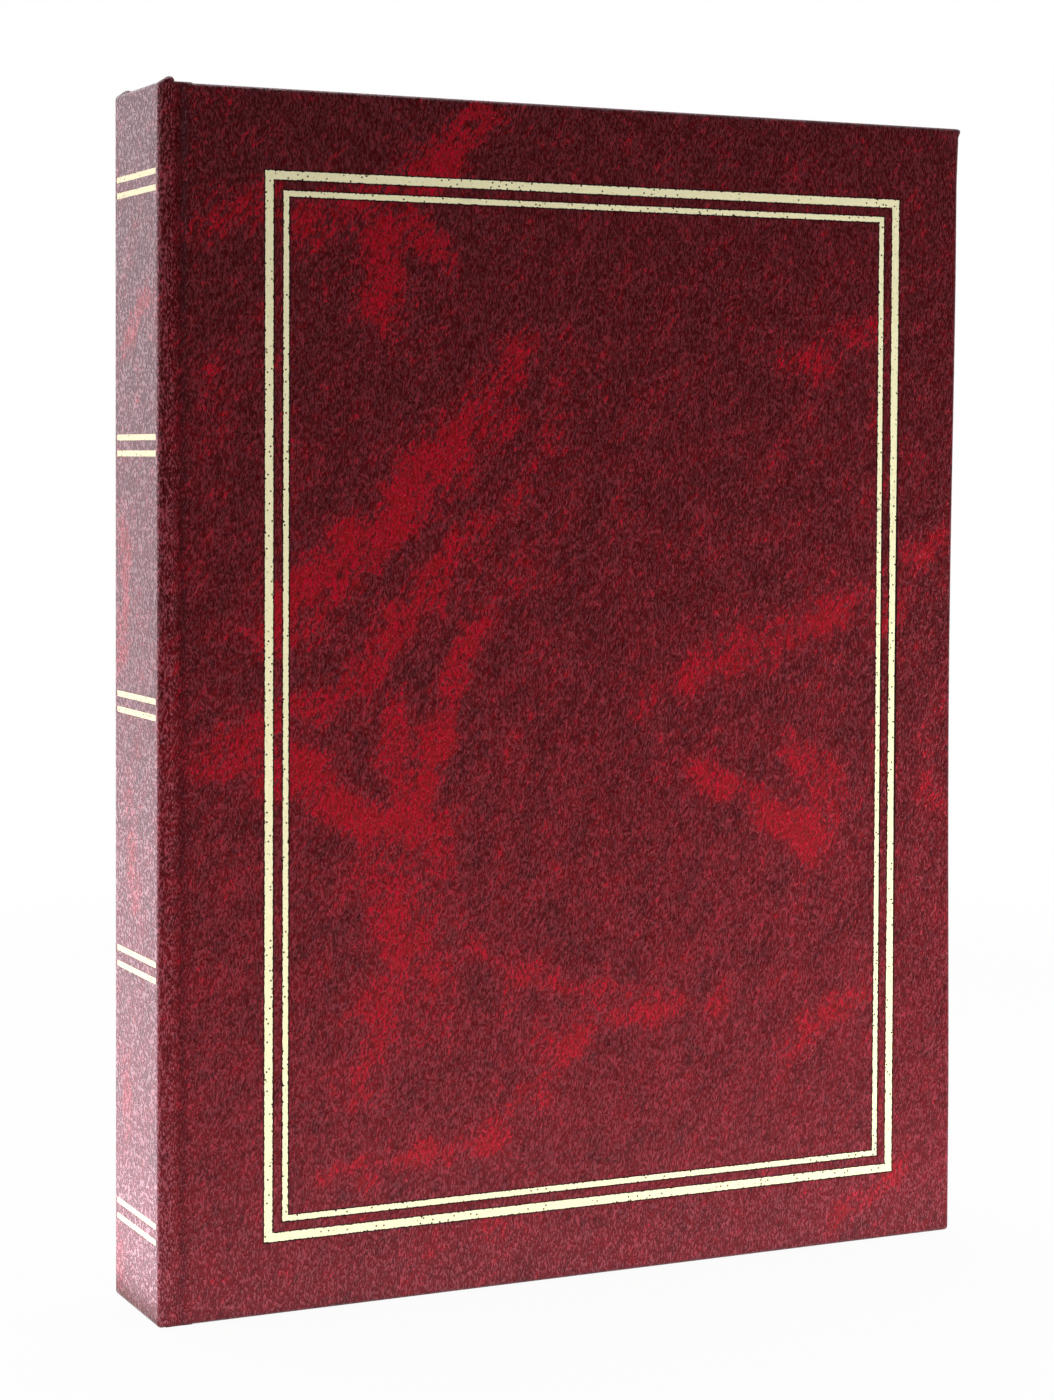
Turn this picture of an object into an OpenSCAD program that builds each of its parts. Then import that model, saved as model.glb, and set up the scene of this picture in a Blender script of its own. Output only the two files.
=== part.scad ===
// Stamp album: an A4 stock book in a marbled leatherette case, closed and standing on its tail.
// The spine faces -X, the front cover -Y and the head +Z; the origin is under the middle of the tail.
// Each leaf turns about a linen crease near the spine, and each cover about its joint groove.

/* [Case] */
// Height of the covers
album_h = 305; // [220:1:340]
// Width from the spine face to the fore-edge
album_w = 230; // [180:1:280]
// Thickness of the leatherette
skin_t = 0.6; // [0.4:0.1:1]
// Thickness of the cover boards
board_t = 2.4; // [2:0.1:4]
// Thickness of the spine board, whose edges stand as shoulders beside the grooves
spine_board_t = 3.3; // [2:0.1:5]
// Width of the joint grooves between the shoulders and the covers
groove_w = 2.2; // [1.8:0.1:3]
// Depth of the joint grooves
groove_d = 1.6; // [0.8:0.1:1.8]
// Width of the leatherette turned in over the inside of a board
turnin_w = 15; // [8:1:25]
// Thickness of the pared leatherette of the turn-ins
turnin_t = 0.4; // [0.2:0.1:0.6]
// Clearance between the turn-ins and what is glued in between them
inlay_gap = 0.2; // [0.1:0.05:0.5]
// Height of the folded beads of leatherette at the head of the shoulders
bead_h = 1; // [0.4:0.1:1.4]
// Inset of the beads from both edges of a shoulder
bead_inset = 0.25; // [0.1:0.05:0.5]

/* [Gilding] */
// Depth of the gilt lines, which lie flush in the leatherette
gilt_t = 0.1; // [0.05:0.05:0.3]
// Width of the outer gilt line of the front cover
outer_line_w = 2.2; // [1:0.1:4]
// Width of the inner gilt line of the front cover
inner_line_w = 1.5; // [0.5:0.1:3]
// Space between the two gilt lines of the front cover
line_gap = 2.6; // [1:0.1:6]
// Margin between the groove and the outer gilt line
frame_margin_joint = 20.9; // [12:0.1:40]
// Margin between the fore-edge and the outer gilt line
frame_margin_fore = 19; // [12:0.1:40]
// Margin between the head and the outer gilt line
frame_margin_head = 20.3; // [12:0.1:40]
// Margin between the tail and the outer gilt line
frame_margin_tail = 18.4; // [12:0.1:40]
// Number of double gilt bands across the spine
band_count = 5; // [2:1:8]
// Height of one line of a double band
band_w = 1.5; // [0.8:0.1:2.5]
// Distance between the middles of the two lines of a double band
band_pair_pitch = 4; // [3:0.1:8]
// Distance from the head to the middle of the first double band
band_margin_head = 23.5; // [12:0.5:50]
// Distance from the tail to the middle of the last double band
band_margin_tail = 22.8; // [12:0.1:50]
// Margin between the bands and both edges of the spine
band_margin_side = 1.3; // [0.5:0.1:4]

/* [Endpapers] */
// Thickness of a pastedown where it covers the turn-ins
paste_t = 0.2; // [0.1:0.05:0.4]
// Margin between a pastedown and the edges of its cover
paste_margin = 4; // [2:0.5:7]
// Width of the hinge mull glued to a board under its pastedown
mull_w = 24; // [15:1:40]
// Thickness of a flyleaf
fly_t = 0.3; // [0.1:0.05:0.4]
// Air between a pastedown and its flyleaf
fly_gap = 0.45; // [0.3:0.05:1.5]
// Air between a flyleaf and the nearest leaf
fly_leaf_gap = 0.59; // [0.3:0.01:1.5]

/* [Leaves] */
// Number of leaves, shared evenly by the two covers
leaf_count = 16; // [4:2:16]
// Thickness of the card of a leaf
leaf_t = 0.7; // [0.5:0.05:0.9]
// Margin between the leaves and the edges of the covers
square_w = 4; // [2:0.5:8]
// Air between the pockets of a leaf and the next leaf
leaf_gap = 0.48; // [0.4:0.02:1.5]
// Distance from the spine face to the crease of a flyleaf
crease_x = 17; // [15:0.5:24]
// Step by which each crease lies further from the spine than the one outside it
crease_step = 0.3; // [0.3:0.05:0.6]
// Width of the bare linen on each side of a crease
linen_w = 3; // [2.5:0.1:5]
// Thickness of the linen
linen_t = 0.25; // [0.15:0.05:0.3]
// Running clearance on each side of a crease
crease_gap = 0.2; // [0.2:0.05:0.4]
// Width of the linen glued over the inner margin of a leaf
wing_w = 8; // [4:0.5:12]

/* [Pockets] */
// Number of pocket strips on each side of a leaf
strip_count = 9; // [4:1:11]
// Share of its row that a pocket strip covers
strip_share = 0.82; // [0.6:0.01:0.92]
// Thickness of a glassine strip
strip_t = 0.12; // [0.06:0.02:0.2]
// Margin between the strips and the edges of the card
strip_margin = 3; // [1:0.5:8]
// Space between the linen and the inner ends of the strips
strip_linen_gap = 1; // [0.5:0.5:5]
// Thickness of a glassine interleaf
interleaf_t = 0.08; // [0.04:0.02:0.1]
// Air between an interleaf and the strips behind it
interleaf_gap = 0.1; // [0.06:0.02:0.3]

/* [Binding] */
// Thickness of a sewing tape
tape_t = 0.3; // [0.2:0.05:0.6]
// Height of a sewing tape
tape_w = 14; // [8:1:25]
// Number of sewing tapes
tape_count = 4; // [3:1:6]
// Share of the tapes' thickness that the sewing thread fills
thread_share = 0.9; // [0.6:0.05:0.95]

/* [Hidden] */
$fn = 48;
cut = 1;

// Thickness, from the leaves outwards
leaf_front = leaf_t / 2 + strip_t + interleaf_gap + interleaf_t;
leaf_back = leaf_t / 2 + strip_t;
leaf_pitch = leaf_front + leaf_back + leaf_gap;
turnin_y = skin_t + board_t;
case_t = turnin_y + turnin_t;
membrane_y = groove_d + skin_t;
lining_y = membrane_y + inlay_gap;
fly_y = case_t + paste_t + fly_gap + fly_t / 2;
first_leaf_y = fly_y + fly_t / 2 + fly_leaf_gap + leaf_front;
last_leaf_y = fly_y + fly_t / 2 + fly_leaf_gap + leaf_back;
album_t = first_leaf_y + (leaf_count - 1) * leaf_pitch + last_leaf_y;

// Width, measured from the spine face towards the fore-edge
shoulder_w = skin_t + spine_board_t + skin_t;
axis_s = shoulder_w + groove_w / 2;
cover_s = shoulder_w + groove_w;
board_s = cover_s + skin_t;
lining_s = skin_t + spine_board_t;
tape_s = lining_s + turnin_t;
block_s = tape_s + tape_t;
leaf_end_s = album_w - square_w;
half_count = leaf_count / 2;
fly_crease_gap = crease_gap + fly_t / 2;
lip_gap = 0.1;

// Height
leaf_h = album_h - 2 * square_w;
strip_row = (leaf_h - 2 * strip_margin) / strip_count;
band_step = (album_h - band_margin_head - band_margin_tail) / (band_count - 1);
tape_step = leaf_h / tape_count;
thread_d = thread_share * tape_t;
leaf_z = [square_w, square_w + leaf_h];
turnin_z = [turnin_w, album_h - turnin_w];
inlay_z = [turnin_w + inlay_gap, album_h - turnin_w - inlay_gap];
paste_z = [paste_margin, album_h - paste_margin];

LEAVES = [1:leaf_count];
// Range of the given width around a middle
function around(middle, width) = [middle - width / 2, middle + width / 2];
// Two-digit number of a leaf, counted from the front cover
function number(k) = str(k < 10 ? "0" : "", k);
// Steps of a crease away from the flyleaf's, from either cover towards the middle
function crease_rank(k) = k <= half_count ? k : leaf_count + 1 - k;
// Crease of a leaf, from the spine face
function leaf_s(k) = crease_x + crease_step * crease_rank(k);
// Middle of a leaf's card, from the outer face of the front cover
function leaf_y(k) = first_leaf_y + (k - 1) * leaf_pitch;

// A block whose x runs from the spine face, y from the front cover's outer face and z from the tail
module slab(s, y, z) {
    translate([s[0] - album_w / 2, y[0] - album_t / 2, z[0]])
        cube([s[1] - s[0], y[1] - y[0], z[1] - z[0]]);
}

// The same piece again on the other side of the album
module both_sides() {
    children();
    mirror([0, 1, 0]) children();
}

// A rectangular frame of the given line width, let into the front face
module face_frame(inset, line_w, depth, cut_front = 0) {
    s = [cover_s + frame_margin_joint + inset, album_w - frame_margin_fore - inset];
    z = [frame_margin_tail + inset, album_h - frame_margin_head - inset];
    difference() {
        slab(s, [-cut_front, depth], z);
        slab([s[0] + line_w, s[1] - line_w], [-cut, depth + cut], [z[0] + line_w, z[1] - line_w]);
    }
}

// Every line of the double bands, as slabs let into the spine face
module spine_bands(cut_face = 0) {
    for (i = [0:band_count - 1], side = [-1, 1]) {
        z = band_margin_tail + i * band_step + side * band_pair_pitch / 2;
        slab([-cut_face, gilt_t], [band_margin_side, album_t - band_margin_side], around(z, band_w));
    }
}

// Spine
module spine_board() {
    color("#8a7a66")
        slab([skin_t, lining_s], [skin_t, album_t - skin_t], [skin_t, album_h - skin_t]);
}

// A bead at the head of the front shoulder: the top of a cylinder that lies along Y
module head_bead() {
    half_w = shoulder_w / 2 - bead_inset;
    radius = (half_w * half_w + bead_h * bead_h) / (2 * bead_h);
    intersection() {
        translate([shoulder_w / 2 - album_w / 2, -album_t / 2, album_h + bead_h - radius])
            rotate([-90, 0, 0]) cylinder(h = turnin_y, r = radius);
        slab([0, shoulder_w], [0, turnin_y], [album_h - skin_t, album_h + bead_h + cut]);
    }
}

module spine_leatherette() {
    color("#5e1c24") {
        difference() {
            slab([0, tape_s], [0, album_t], [0, album_h]);
            slab([skin_t, lining_s], [skin_t, album_t - skin_t], [skin_t, album_h - skin_t]);
            slab([lining_s, tape_s + cut], [membrane_y, album_t - membrane_y], turnin_z);
            spine_bands(cut);
        }
        both_sides() {
            slab([lining_s, shoulder_w], [0, membrane_y], [0, album_h]);
            slab([shoulder_w, axis_s - lip_gap], [groove_d, membrane_y], [0, album_h]);
            head_bead();
        }
    }
}

module spine_gilt_bands() {
    color("#e3dcb3") spine_bands();
}

module spine_lining() {
    color("#d8cfb8")
        slab([lining_s, tape_s], [lining_y, album_t - lining_y], inlay_z);
}

// Binding: tapes and thread hold the guards, which carry the leaves
module sewing_tapes() {
    color("#e8e2d0") for (i = [0:tape_count - 1]) {
        z = square_w + (i + 0.5) * tape_step;
        slab([tape_s, block_s], [fly_y, album_t - fly_y], around(z, tape_w));
    }
}

module sewing_thread() {
    color("#f2efe6") for (k = LEAVES, i = [0:tape_count - 2]) {
        z = square_w + (i + 0.5) * tape_step + tape_w / 2;
        translate([block_s - thread_d / 2 - album_w / 2, leaf_y(k) - album_t / 2, z])
            cylinder(h = tape_step - tape_w, d = thread_d);
    }
}

module leaf_guards() {
    color("#f1ead6") for (k = LEAVES)
        slab([block_s, leaf_s(k) - linen_w], around(leaf_y(k), leaf_t), leaf_z);
}

module guard_spacers() {
    color("#a39684") {
        for (k = [1:leaf_count - 1]) {
            s_end = min(leaf_s(k), leaf_s(k + 1)) - linen_w;
            slab([block_s, s_end], [leaf_y(k) + leaf_t / 2, leaf_y(k + 1) - leaf_t / 2], leaf_z);
        }
        s = [block_s, crease_x - linen_w];
        slab(s, [fly_y + fly_t / 2, leaf_y(1) - leaf_t / 2], leaf_z);
        slab(s, [leaf_y(leaf_count) + leaf_t / 2, album_t - fly_y - fly_t / 2], leaf_z);
    }
}

module guard_linen() {
    color("#d9d4c4") for (k = LEAVES)
        slab([leaf_s(k) - linen_w, leaf_s(k) - crease_gap], around(leaf_y(k), linen_t), leaf_z);
}

module endpaper_stubs() {
    color("#efe8d8") both_sides()
        slab([block_s, crease_x - fly_crease_gap], around(fly_y, fly_t), leaf_z);
}

// Covers, drawn as the front one
module cover_board() {
    color("#8a7a66")
        slab([board_s, album_w - skin_t], [skin_t, turnin_y], [skin_t, album_h - skin_t]);
}

module cover_leatherette() {
    color("#5e1c24") {
        difference() {
            slab([cover_s, album_w], [0, case_t], [0, album_h]);
            slab([board_s, album_w - skin_t], [skin_t, turnin_y], [skin_t, album_h - skin_t]);
            slab([board_s, album_w - turnin_w], [turnin_y, case_t + cut], turnin_z);
        }
        slab([axis_s + lip_gap, cover_s], [groove_d, membrane_y], [0, album_h]);
    }
}

module cover_mull() {
    color("#d9d4c4")
        slab([board_s, board_s + mull_w], [turnin_y, case_t], inlay_z);
}

module cover_pastedown() {
    color("#efe8d8") {
        slab([board_s + mull_w, album_w - turnin_w - inlay_gap], [turnin_y, case_t], inlay_z);
        slab([board_s, album_w - paste_margin], [case_t, case_t + paste_t], paste_z);
    }
}

module cover_flyleaf() {
    color("#efe8d8")
        slab([crease_x + fly_crease_gap, leaf_end_s], around(fly_y, fly_t), leaf_z);
}

module front_board() { cover_board(); }

module front_leatherette() {
    difference() {
        cover_leatherette();
        face_frame(0, outer_line_w, gilt_t, cut);
        face_frame(outer_line_w + line_gap, inner_line_w, gilt_t, cut);
    }
}

module front_gilt_outer_frame() {
    color("#e3dcb3") face_frame(0, outer_line_w, gilt_t);
}

module front_gilt_inner_frame() {
    color("#e3dcb3") face_frame(outer_line_w + line_gap, inner_line_w, gilt_t);
}

module front_mull() { cover_mull(); }

module front_pastedown() { cover_pastedown(); }

module front_flyleaf() { cover_flyleaf(); }

module back_board() { mirror([0, 1, 0]) cover_board(); }

module back_leatherette() { mirror([0, 1, 0]) cover_leatherette(); }

module back_mull() { mirror([0, 1, 0]) cover_mull(); }

module back_pastedown() { mirror([0, 1, 0]) cover_pastedown(); }

module back_flyleaf() { mirror([0, 1, 0]) cover_flyleaf(); }

// Leaves: a card, its linen tab and the linen wings glued over its inner margin
module leaf_card(k) {
    s = leaf_s(k) + linen_w;
    y = leaf_y(k);
    color("#f4f0e4") {
        slab([s, leaf_end_s], around(y, leaf_t), leaf_z);
        slab([leaf_s(k) + crease_gap, s], around(y, linen_t), leaf_z);
        slab([s, s + wing_w], [y - leaf_front + interleaf_t, y + leaf_back], leaf_z);
    }
}

// Glassine pocket strips on both sides of a leaf, and the interleaf hung before its front
module leaf_pockets(k) {
    y = leaf_y(k);
    s = [leaf_s(k) + linen_w + wing_w + strip_linen_gap, leaf_end_s - strip_margin];
    color("#e6eaea") {
        for (i = [0:strip_count - 1]) {
            z = square_w + strip_margin + i * strip_row;
            slab(s, [y - leaf_t / 2 - strip_t, y - leaf_t / 2], [z, z + strip_share * strip_row]);
            slab(s, [y + leaf_t / 2, y + leaf_back], [z, z + strip_share * strip_row]);
        }
        slab(
            [leaf_s(k) + linen_w + wing_w / 2, leaf_end_s - strip_margin / 2],
            [y - leaf_front, y - leaf_front + interleaf_t],
            [square_w + strip_margin / 2, square_w + leaf_h - strip_margin / 2]
        );
    }
}

spine_board();
spine_leatherette();
spine_gilt_bands();
spine_lining();
sewing_tapes();
sewing_thread();
leaf_guards();
guard_spacers();
guard_linen();
endpaper_stubs();
front_board();
front_leatherette();
front_gilt_outer_frame();
front_gilt_inner_frame();
front_mull();
front_pastedown();
front_flyleaf();
back_board();
back_leatherette();
back_mull();
back_pastedown();
back_flyleaf();
for (k = LEAVES) leaf_card(k);
for (k = LEAVES) leaf_pockets(k);
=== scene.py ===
"""A stamp album: marbled leatherette case, gilt lines, and stock leaves with glassine pockets."""
import math

import bmesh
import bpy
from mathutils import Matrix, Vector


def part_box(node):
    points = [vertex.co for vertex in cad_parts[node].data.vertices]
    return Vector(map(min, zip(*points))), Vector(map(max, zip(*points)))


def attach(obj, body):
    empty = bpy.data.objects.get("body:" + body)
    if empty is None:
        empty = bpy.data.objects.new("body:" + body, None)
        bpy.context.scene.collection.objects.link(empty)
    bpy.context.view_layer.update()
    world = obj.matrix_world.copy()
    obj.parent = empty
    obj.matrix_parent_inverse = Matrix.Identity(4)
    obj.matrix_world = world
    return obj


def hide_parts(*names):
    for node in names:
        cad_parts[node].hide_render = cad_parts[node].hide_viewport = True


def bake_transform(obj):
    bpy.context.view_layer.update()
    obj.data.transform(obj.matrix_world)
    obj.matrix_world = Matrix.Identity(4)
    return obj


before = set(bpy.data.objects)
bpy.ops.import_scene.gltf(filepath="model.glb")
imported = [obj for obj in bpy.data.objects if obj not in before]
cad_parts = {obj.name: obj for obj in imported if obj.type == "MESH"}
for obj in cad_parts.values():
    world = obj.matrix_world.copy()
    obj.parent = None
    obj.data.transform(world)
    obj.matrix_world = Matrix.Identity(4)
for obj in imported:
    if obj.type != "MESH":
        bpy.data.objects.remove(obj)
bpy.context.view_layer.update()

MM = 0.001
scene = bpy.context.scene

# ---------------------------------------------------------------- camera
CAMERA_PLACE = Vector((-0.3467, -0.7161, 0.2141))
CAMERA_YAW = math.radians(25.35)
CAMERA_DIP = math.radians(1.945)
CAMERA_ROLL = math.radians(0.237)
CAMERA_LENS, SENSOR_W = 77.27, 36
CAMERA_SHIFT = -0.1


def make_camera():
    """The camera looks along +Y turned by its yaw towards +X, and a little down."""
    forward = Vector((
        math.sin(CAMERA_YAW) * math.cos(CAMERA_DIP),
        math.cos(CAMERA_YAW) * math.cos(CAMERA_DIP),
        -math.sin(CAMERA_DIP),
    ))
    level_right = Vector((math.cos(CAMERA_YAW), -math.sin(CAMERA_YAW), 0))
    level_up = level_right.cross(forward)
    right = level_right * math.cos(CAMERA_ROLL) + level_up * math.sin(CAMERA_ROLL)
    up = level_up * math.cos(CAMERA_ROLL) - level_right * math.sin(CAMERA_ROLL)
    camera = bpy.data.objects.new("camera", bpy.data.cameras.new("camera"))
    scene.collection.objects.link(camera)
    camera.data.sensor_width = SENSOR_W
    camera.data.lens = CAMERA_LENS
    camera.data.shift_y = CAMERA_SHIFT
    turn = Matrix((right, up, -forward)).transposed().to_4x4()
    camera.matrix_world = Matrix.Translation(CAMERA_PLACE) @ turn
    scene.camera = camera


make_camera()

# ---------------------------------------------------------------- sizes, read from the frame
spine_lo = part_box("spine_leatherette")[0]
spine_board_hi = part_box("spine_board")[1]
lining_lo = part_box("spine_lining")[0]
board_lo, board_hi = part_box("front_board")
cover_lo, cover_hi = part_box("front_leatherette")
pastedown_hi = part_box("front_pastedown")[1]
stubs_lo, stubs_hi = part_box("endpaper_stubs")

SKIN = board_lo.y - cover_lo.y
ALBUM_H = board_hi.z + SKIN
SPINE_X = spine_lo.x
FORE_X = cover_hi.x
FRONT_Y = cover_lo.y
BACK_Y = -FRONT_Y
SHOULDER_X = spine_board_hi.x + SKIN
COVER_X = board_lo.x - SKIN
CASE_Y = pastedown_hi.y - (pastedown_hi.y - board_hi.y) / 3
CREASE_X = SPINE_X + 6.3 * MM
TURNIN_W = lining_lo.z - 0.2 * MM
EDGE_R = 1.2 * MM
# How far in from an edge the first cut lies, which keeps the rounding's shading off the flat
RIM = 2 * EDGE_R
# Within this a point counts as lying on a plane
SKIM = 0.01 * MM
# The attribute that holds where a point lies when the album is shut
REST = "rest_place"


# ---------------------------------------------------------------- shader maths
class Socket:
    """An output of a shader node. Arithmetic on it adds Math nodes to the same tree."""

    def __init__(self, tree, output):
        self.tree, self.output = tree, output

    def math(self, operation, *others, clamp=False):
        values = [self, *others]
        return add_node(self.tree, "ShaderNodeMath", {"operation": operation, "use_clamp": clamp}, values)

    def vector(self, operation, *others, out=0):
        return add_node(self.tree, "ShaderNodeVectorMath", {"operation": operation}, [self, *others], out)

    def times(self, factor):
        """A vector, made longer by a number."""
        values = {0: self, "Scale": factor}
        return add_node(self.tree, "ShaderNodeVectorMath", {"operation": "SCALE"}, values)

    def __add__(self, other):
        return self.math("ADD", other)

    def __sub__(self, other):
        return self.math("SUBTRACT", other)

    def __mul__(self, other):
        return self.math("MULTIPLY", other)

    def __rsub__(self, other):
        return add_node(self.tree, "ShaderNodeMath", {"operation": "SUBTRACT"}, [other, self])

    __radd__ = __add__
    __rmul__ = __mul__

    def clamped(self):
        return self.math("ADD", 0.0, clamp=True)

    def ramp(self, start, end):
        """0 at start, 1 at end, and smooth in between."""
        values = {"Value": self, "From Min": start, "From Max": end}
        return add_node(self.tree, "ShaderNodeMapRange", {"interpolation_type": "SMOOTHSTEP"}, values)


def add_node(tree, kind, settings=None, values=None, out=0):
    """Adds a node: its settings first, then the values or links of its sockets."""
    node = tree.nodes.new(kind)
    for name, value in (settings or {}).items():
        setattr(node, name, value)
    pairs = values.items() if isinstance(values, dict) else enumerate(values or [])
    for name, value in pairs:
        if isinstance(value, Socket):
            tree.links.new(value.output, node.inputs[name])
        elif value is not None:
            node.inputs[name].default_value = value
    return Socket(tree, node.outputs[out])


def rgb(red, green, blue):
    """A colour given as it looks on a screen, 0 to 255, as linear light."""
    shares = [level / 255 for level in (red, green, blue)]
    return [share / 12.92 if share < 0.04045 else ((share + 0.055) / 1.055) ** 2.4 for share in shares]


class Finish:
    """A material and the nodes that vary it."""

    def __init__(self, name, **constants):
        self.material = bpy.data.materials.new(name)
        self.material.use_nodes = True
        self.tree = self.material.node_tree
        self.shader = next(n for n in self.tree.nodes if n.type == "BSDF_PRINCIPLED")
        for socket, value in constants.items():
            self.shader.inputs[socket.replace("_", " ")].default_value = value

    def node(self, kind, settings=None, values=None, out=0):
        return add_node(self.tree, kind, settings, values, out)

    def place(self):
        """Object coordinates, in millimetres."""
        return self.node("ShaderNodeTexCoord", out="Object").times(1 / MM)

    def sheet_place(self):
        """Where a point of the leatherette lies when the album is shut, in millimetres."""
        return self.node("ShaderNodeAttribute", {"attribute_name": REST}, out="Vector").times(1 / MM)

    def parts(self, vector):
        """The x, y and z of a vector."""
        return [self.node("ShaderNodeSeparateXYZ", None, [vector], axis) for axis in range(3)]

    def scaled(self, vector, x, y, z):
        """A vector with each of its parts made longer by its own number."""
        return vector.vector("MULTIPLY", (x, y, z))

    def noise(self, vector, size, detail=2.0, roughness=0.5, out="Fac"):
        """Noise whose blobs are about size millimetres across."""
        values = {"Vector": vector, "Scale": 1 / size, "Detail": detail, "Roughness": roughness}
        return self.node("ShaderNodeTexNoise", None, values, out)

    def mix(self, factor, first, second):
        """A colour between two."""
        values = {0: factor, 6: with_alpha(first), 7: with_alpha(second)}
        return self.node("ShaderNodeMix", {"data_type": "RGBA"}, values, 2)

    def link(self, socket, value):
        self.tree.links.new(value.output, self.shader.inputs[socket])

    def bump(self, height, distance):
        """Relief that stands distance millimetres high where height is 1."""
        values = {"Height": height, "Distance": distance * MM, "Strength": 1.0}
        self.link("Normal", self.node("ShaderNodeBump", None, values))


def with_alpha(colour):
    """A colour of three numbers as one of four. A socket stays as it is."""
    return colour if isinstance(colour, Socket) else (*colour, 1)


# ---------------------------------------------------------------- finishes
def gilt_lines():
    """The two gilt frames of the front cover: node, outer box and line width."""
    frames = []
    for node in ("front_gilt_outer_frame", "front_gilt_inner_frame"):
        lo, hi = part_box(node)
        xs = sorted({round(v.co.x, 5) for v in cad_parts[node].data.vertices})
        frames.append((node, lo, hi, xs[1] - xs[0]))
    return frames


def line_edge(finish, where, lo, hi, width):
    """How far a place of the front lies beside a gilt line, in millimetres. It is below 0 on the line."""
    x, y, z = finish.parts(where)
    beside = (x - (lo.x + hi.x) / 2 / MM).math("ABSOLUTE") - (hi.x - lo.x) / 2 / MM
    above = (z - (lo.z + hi.z) / 2 / MM).math("ABSOLUTE") - (hi.z - lo.z) / 2 / MM
    half = width / 2 / MM
    return (beside.math("MAXIMUM", above) + half).math("ABSOLUTE") - half


# The y in millimetres over which a mask fades in, towards the front cover's face
ON_FACE = (FRONT_Y / MM + 0.5, FRONT_Y / MM + 0.2)

# Crimson streaks of the covering, laid flat: strength, half width, and points counted from the corner of
# spine and front and from the tail, in millimetres. Points below 0 lie on the spine.
STREAKS = [
    (0.9, 6, [(55, 276), (59, 266), (57, 250)]),
    (0.8, 4, [(34, 269), (47, 275), (64, 272), (77, 266)]),
    (0.6, 3, [(45, 274), (37, 265)]),
    (0.5, 3, [(11, 279), (21, 281), (33, 279)]),
    (0.6, 3, [(8, 267), (18, 273), (29, 276)]),
    (0.9, 5, [(88, 302), (79, 293), (70, 285), (63, 279)]),
    (0.7, 5, [(98, 242), (91, 230), (79, 219)]),
    (1.0, 5.5, [(79, 220), (70, 209), (60, 196), (45, 185), (31, 176)]),
    (0.5, 4, [(97, 224), (83, 214), (75, 203)]),
    (0.9, 4, [(91, 199), (77, 187), (70, 176), (56, 168)]),
    (1.0, 3.6, [(85, 170), (80, 161), (76, 149), (73, 136), (70, 125)]),
    (0.8, 4, [(58, 168), (50, 156), (34, 150), (14, 142)]),
    (0.7, 4, [(53, 181), (45, 173), (24, 169)]),
    (1.0, 5, [(34, 141), (45, 128), (58, 121), (75, 122)]),
    (0.7, 4, [(9, 138), (26, 137), (37, 129)]),
    (0.8, 4, [(64, 153), (61, 138), (64, 125)]),
    (0.75, 7, [(60, 118), (61, 102), (63, 87), (58, 72)]),
    (0.55, 5, [(58, 72), (51, 52)]),
    (0.6, 3, [(72, 117), (78, 101), (92, 83), (109, 78), (133, 74), (154, 67)]),
    (0.6, 5, [(70, 102), (72, 86), (71, 71)]),
    (0.75, 3.2, [(145, 68), (121, 67), (107, 54), (95, 44), (78, 36), (61, 34), (45, 32)]),
    (0.6, 4, [(121, 72), (109, 65), (101, 58)]),
    (0.5, 3, [(151, 65), (163, 73)]),
    (0.7, 5, [(200, 177), (181, 168), (162, 162), (141, 153)]),
    (0.5, 4, [(168, 171), (150, 161), (132, 148)]),
    (0.85, 3.5, [(178, 140), (187, 127), (191, 116)]),
    (0.9, 4, [(147, 133), (166, 123), (184, 112)]),
    (1.0, 5, [(180, 114), (188, 109)]),
    (0.7, 4, [(178, 138), (200, 121)]),
    (0.5, 5, [(207, 255), (193, 246), (177, 238)]),
    (0.6, 4, [(225, 192), (214, 187), (209, 173)]),
    (0.6, 4, [(201, 69), (188, 62), (177, 54)]),
    (0.7, 3, [(220, 23), (208, 16), (192, 4)]),
    (0.5, 3, [(70, 12), (81, 14), (98, 15)]),
    (0.5, 4, [(3, 144), (16, 139), (29, 140)]),
    (0.25, 4, [(17, 245), (13, 233), (14, 218)]),
    (0.3, 5, [(112, 235), (104, 212), (97, 193), (91, 180)]),
    (0.5, 3, [(226, 148), (219, 131), (224, 115)]),
    (0.8, 3, [(-5, 257), (-28, 239)]),
    (0.8, 4, [(-30, 200), (-27, 180), (-32, 159)]),
    (0.7, 4, [(-22, 130), (-16, 93)]),
    (0.8, 4, [(-26, 59), (-24, 43)]),
    (0.7, 4, [(-33, 18), (-31, 7)]),
]
# How far, in millimetres, noise moves the streaks' outlines, and the size of its waves
DRIFT, DRIFT_SIZE = 9.5, 17
# The streaks are broken up by slanting clouds and fibres: size in millimetres, and depth
FIBRE_SLANT = math.radians(52)
CLOUD_SIZE, CLOUD_DEPTH = 8, 2.8
FIBRE_SIZE, FIBRE_DEPTH = 1.2, 3.6
STREAK_EDGE = (0.43, 0.92)
# The haze is lighter at the foot than at the head: painted light, brighter towards the foot
HAZE_WITH_FOOT_LIGHT, PAINTED_LIGHT_FALL, HAZE_END = 0.75, 0.65, 0.9


def laid_flat(finish, where):
    """Where a place lies on the covering laid flat: along it and up. The back is the front, turned round."""
    x, y, z = finish.parts(where)
    along = x - y - (SPINE_X - FRONT_Y) / MM
    on_back = (y - (BACK_Y / MM - 0.8)).ramp(0, 0.2)
    width, height, depth = (FORE_X - SPINE_X) / MM, ALBUM_H / MM, (BACK_Y - FRONT_Y) / MM
    return along + on_back * (width - depth - 2 * along), z + on_back * (height - 2 * z)


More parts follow.
